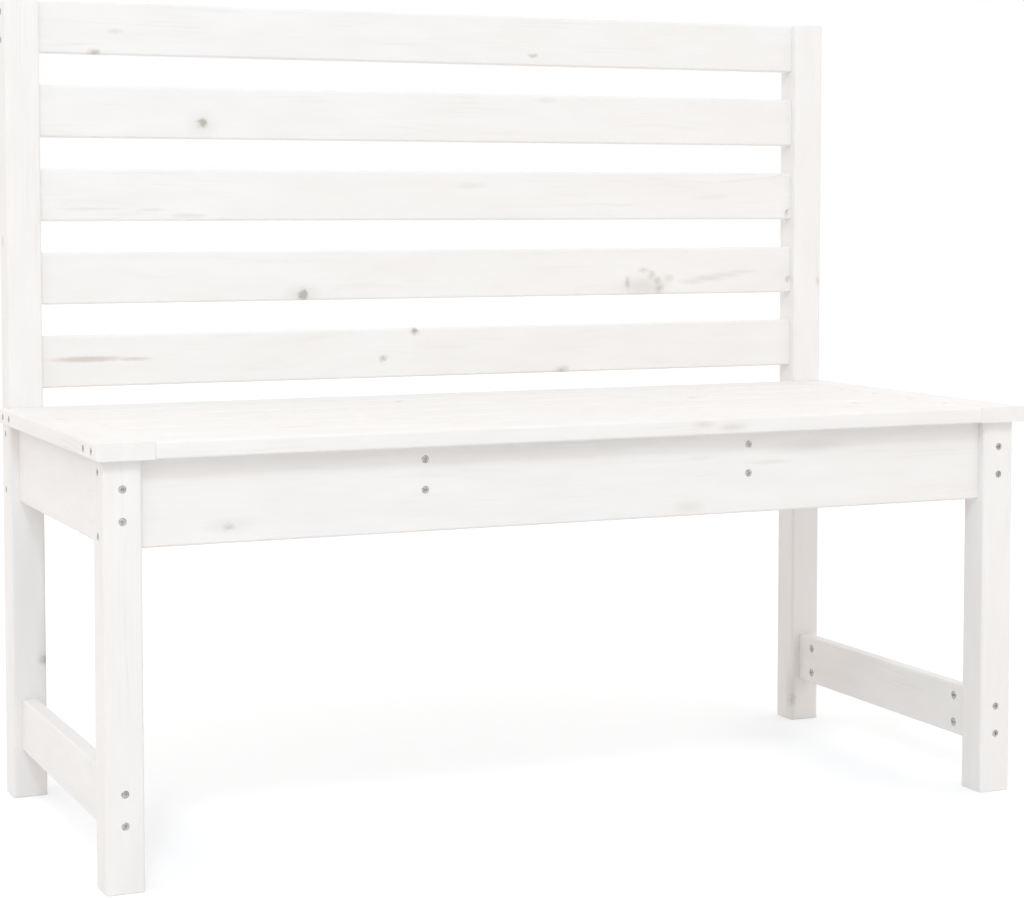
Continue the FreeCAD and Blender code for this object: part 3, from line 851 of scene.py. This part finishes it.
class BENCH_OT_front_legs(BenchStep, bpy.types.Operator):
    """Square front legs, bored for the bolts of the aprons and stretchers"""
    bl_idname = "bench.front_legs"
    bl_label = "Front legs"

    def execute(self, context):
        for side in SIDES:
            node = f"{side}_front_leg"
            leg = board_on(node, Z, edge=timber().leg_edge)
            drill(leg, "side_apron_bolts", "stretcher_bolts", "long_apron_bolts")
            finish_wood(leg, node, Z)
        return {"FINISHED"}


class BENCH_OT_rear_posts(BenchStep, bpy.types.Operator):
    """Square rear posts, bored for the bolts and mortised for the back slats"""
    bl_idname = "bench.rear_posts"
    bl_label = "Rear posts"

    def execute(self, context):
        for side in SIDES:
            node = f"{side}_rear_post"
            post = board_on(node, Z, edge=timber().leg_edge)
            cut_mortises(post, SLATS[1:], Y)
            drill(post, "side_apron_bolts", "stretcher_bolts", "long_apron_bolts", "top_slat_bolts")
            finish_wood(post, node, Z)
        return {"FINISHED"}


class BENCH_OT_back_slats(BenchStep, bpy.types.Operator):
    """Back slats: the top one bolted, the others on stub tenons"""
    bl_idname = "bench.back_slats"
    bl_label = "Back slats"

    def execute(self, context):
        top, *lower = SLATS
        slat = board_on(top, X)
        drill(slat, "top_slat_bolts", "top_slat_barrel_nuts")
        finish_wood(slat, top, X)
        for node in lower:
            finish_wood(tenoned_board(node, Y), node, X)
        return {"FINISHED"}


class BENCH_OT_aprons(BenchStep, bpy.types.Operator):
    """Aprons under the seat, along the front, the back and both sides"""
    bl_idname = "bench.aprons"
    bl_label = "Aprons"

    def execute(self, context):
        for node in ("front_apron", "rear_apron"):
            apron = board_on(node, X)
            drill(apron, "long_apron_bolts", "bearer_bolts", "long_apron_barrel_nuts")
            finish_wood(apron, node, X)
        for side in SIDES:
            node = f"{side}_side_apron"
            apron = board_on(node, Y)
            drill(apron, "side_apron_bolts", "side_apron_barrel_nuts")
            finish_wood(apron, node, Y)
        return {"FINISHED"}


class BENCH_OT_stretchers(BenchStep, bpy.types.Operator):
    """Low stretchers between the front legs and the rear posts"""
    bl_idname = "bench.stretchers"
    bl_label = "Stretchers"

    def execute(self, context):
        for side in SIDES:
            node = f"{side}_stretcher"
            stretcher = board_on(node, Y)
            drill(stretcher, "stretcher_bolts", "stretcher_barrel_nuts")
            finish_wood(stretcher, node, Y)
        return {"FINISHED"}


class BENCH_OT_seat_bearers(BenchStep, bpy.types.Operator):
    """Bearers under the seat boards"""
    bl_idname = "bench.seat_bearers"
    bl_label = "Seat bearers"

    def execute(self, context):
        for side in SIDES:
            node = f"{side}_seat_bearer"
            bearer = board_on(node, Y)
            drill(bearer, "bearer_bolts", "bearer_barrel_nuts", "seat_board_screws")
            finish_wood(bearer, node, Y)
        return {"FINISHED"}


class BENCH_OT_seat_boards(BenchStep, bpy.types.Operator):
    """Seat boards: the outer two screwed at their ends, the others on stub tenons"""
    bl_idname = "bench.seat_boards"
    bl_label = "Seat boards"

    def execute(self, context):
        for node in OUTER_SEAT_BOARDS:
            board = board_on(node, X)
            drill(board, "seat_corner_screws")
            finish_wood(board, node, X)
        for node in INNER_SEAT_BOARDS:
            board = tenoned_board(node, Z)
            drill(board, "seat_board_screws")
            finish_wood(board, node, X)
        return {"FINISHED"}


class BENCH_OT_seat_end_boards(BenchStep, bpy.types.Operator):
    """End boards of the seat, notched round the rear posts"""
    bl_idname = "bench.seat_end_boards"
    bl_label = "Seat end boards"

    def execute(self, context):
        joint_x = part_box("seat_front_board")[1][X]
        for side in SIDES:
            node = f"{side}_seat_end_board"
            board = board_on(node, Y, is_joint=lambda corner: abs(corner.x) < joint_x + MM)
            cut_mortises(board, INNER_SEAT_BOARDS, Z)
            low, high = corners(f"{side}_rear_post")
            room = Vector((timber().play, timber().play, 0))
            combine(board, add_box("notch", low - room, high + room))
            drill(board, "seat_corner_screws")
            finish_wood(board, node, Y)
        return {"FINISHED"}


class BENCH_OT_bolts(BenchStep, bpy.types.Operator):
    """Bolts with sunk heads in the legs, posts and aprons"""
    bl_idname = "bench.bolts"
    bl_label = "Bolts"

    def execute(self, context):
        for group, places in fastener_groups("bolts").items():
            finish_steel(copies(f"{group}_steel", make_bolt(group), places), group)
        return {"FINISHED"}


class BENCH_OT_barrel_nuts(BenchStep, bpy.types.Operator):
    """Barrel nuts in the inner faces of the boards, one for each bolt"""
    bl_idname = "bench.barrel_nuts"
    bl_label = "Barrel nuts"

    def execute(self, context):
        for group, places in fastener_groups("barrel_nuts").items():
            # The frame has only some of these groups
            nodes = [group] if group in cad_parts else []
            finish_steel(copies(f"{group}_steel", make_barrel_nut(group), places), *nodes)
        return {"FINISHED"}


class BENCH_OT_screws(BenchStep, bpy.types.Operator):
    """Screws through the seat end boards and up through the bearers"""
    bl_idname = "bench.screws"
    bl_label = "Screws"

    def execute(self, context):
        for group, places in fastener_groups("screws").items():
            finish_steel(copies(f"{group}_steel", make_screw(group), places), group)
        return {"FINISHED"}


# Stage

def add_key_light():
    """Add the square soft box, which shines at the middle of the bench."""
    values = studio()
    clear_selection()
    bench = (Vector(CAD_BOX[0]) + Vector(CAD_BOX[1])) / 2
    aim = (bench - Vector(values.key_place)).to_track_quat("-Z", "Y").to_euler()
    bpy.ops.object.light_add(type="AREA", location=values.key_place, rotation=aim)
    lamp = bpy.context.object
    lamp.name = "key_light"
    lamp.data.size = values.key_size
    lamp.data.energy = values.key
    lamp.data.color = values.key_tint[:3]


def seen_rays(tree):
    """1 for rays that reach the eye straight or by a reflection or through glass, else 0."""
    path = add_node(tree, "ShaderNodeLightPath").outputs
    shiny = add_node(tree, "ShaderNodeMath", {0: path["Is Glossy Ray"], 1: path["Is Transmission Ray"]},
                     operation="MAXIMUM")
    return add_node(tree, "ShaderNodeMath", {0: path["Is Camera Ray"], 1: shiny}, operation="MAXIMUM")


def add_sky():
    """Add a ring of soft light all around, which the eye sees as a white background."""
    values = studio()
    world = bpy.data.worlds.new("Studio light")
    world.use_nodes = True
    tree = world.node_tree
    tree.nodes.clear()
    seen = seen_rays(tree)
    way = add_node(tree, "ShaderNodeTexCoord").outputs["Generated"]
    height = add_node(tree, "ShaderNodeSeparateXYZ", {0: way}).outputs["Z"]
    above = add_node(tree, "ShaderNodeMath", {0: height, 1: math.sin(values.ring_height)},
                     operation="SUBTRACT")
    off_ring = add_node(tree, "ShaderNodeMath", {0: above}, operation="ABSOLUTE")
    ring = add_node(tree, "ShaderNodeMapRange", {"Value": off_ring, "From Min": values.ring_core,
                                                 "From Max": values.ring_edge, "To Min": values.ring,
                                                 "To Max": values.sky}, interpolation_type="SMOOTHSTEP")
    level = add_node(tree, "ShaderNodeMapRange", {"Value": seen, "To Min": ring, "To Max": 1.0})
    tint = add_node(tree, "ShaderNodeMix", {AMOUNT: seen, FIRST: values.sky_tint, SECOND: (1, 1, 1, 1)},
                    data_type="RGBA")
    light = add_node(tree, "ShaderNodeBackground", {"Color": tint, "Strength": level})
    add_node(tree, "ShaderNodeOutputWorld", {"Surface": light})
    bpy.context.scene.world = world


def studio_floor():
    """Matt studio floor, lifted towards white for the eye, with the bench's shadow left on it."""
    values = studio()
    material, tree = start_material("Matt studio floor")
    matt = add_node(tree, "ShaderNodeBsdfDiffuse", {"Color": values.floor})
    strength = add_node(tree, "ShaderNodeMath", {0: seen_rays(tree), 1: values.glow}, operation="MULTIPLY")
    glow = add_node(tree, "ShaderNodeEmission", {"Color": values.glow_tint, "Strength": strength})
    lifted = add_node(tree, "ShaderNodeAddShader", {0: matt, 1: glow})
    add_node(tree, "ShaderNodeOutputMaterial", {"Surface": lifted})
    return material


class BENCH_OT_stage(BenchStep, bpy.types.Operator):
    """Floor, light and camera"""
    bl_idname = "bench.stage"
    bl_label = "Stage"

    def execute(self, context):
        values = studio()
        clear_selection()
        bpy.ops.mesh.primitive_plane_add(size=values.floor_size, location=(0, 0, -values.floor_drop))
        floor = context.object
        floor.name = "floor"
        floor.data.materials.append(studio_floor())

        add_sky()
        add_key_light()

        clear_selection()
        aim = (math.pi / 2 - values.tilt, 0, -values.turn)
        bpy.ops.object.camera_add(location=values.eye, rotation=aim)
        camera = context.object
        camera.name = "camera"
        camera.data.lens = values.lens
        camera.data.shift_y = values.rise
        context.scene.camera = camera
        context.scene.view_settings.view_transform = "Standard"
        return {"FINISHED"}


STEPS = (BENCH_OT_front_legs, BENCH_OT_rear_posts, BENCH_OT_back_slats, BENCH_OT_aprons,
         BENCH_OT_stretchers, BENCH_OT_seat_bearers, BENCH_OT_seat_boards, BENCH_OT_seat_end_boards,
         BENCH_OT_bolts, BENCH_OT_barrel_nuts, BENCH_OT_screws, BENCH_OT_stage)


class BENCH_PT_sidebar(bpy.types.Panel):
    """Lists the steps of the bench"""
    bl_idname = "BENCH_PT_sidebar"
    bl_label = "White garden bench"
    bl_space_type = "VIEW_3D"
    bl_region_type = "UI"
    bl_category = "Bench"

    def draw(self, context):
        for step in STEPS:
            self.layout.operator(step.bl_idname)
        for values in (timber(), fixings(), studio()):
            box = self.layout.box()
            for name in values.__annotations__:
                box.prop(values, name)


CLASSES = (BenchTimber, BenchFixings, BenchStudio, *STEPS, BENCH_PT_sidebar)


def register():
    """Register the classes and hang the values on the scene."""
    for item in CLASSES:
        bpy.utils.register_class(item)
    bpy.types.Scene.bench_timber = PointerProperty(type=BenchTimber)
    bpy.types.Scene.bench_fixings = PointerProperty(type=BenchFixings)
    bpy.types.Scene.bench_studio = PointerProperty(type=BenchStudio)


def unregister():
    """Take the values and the classes away again."""
    del bpy.types.Scene.bench_timber
    del bpy.types.Scene.bench_fixings
    del bpy.types.Scene.bench_studio
    for item in reversed(CLASSES):
        bpy.utils.unregister_class(item)


def main():
    """Build the bench and its stage."""
    register()
    for step in STEPS:
        group, name = step.bl_idname.split(".")
        getattr(getattr(bpy.ops, group), name)()


if __name__ == "__main__":
    main()
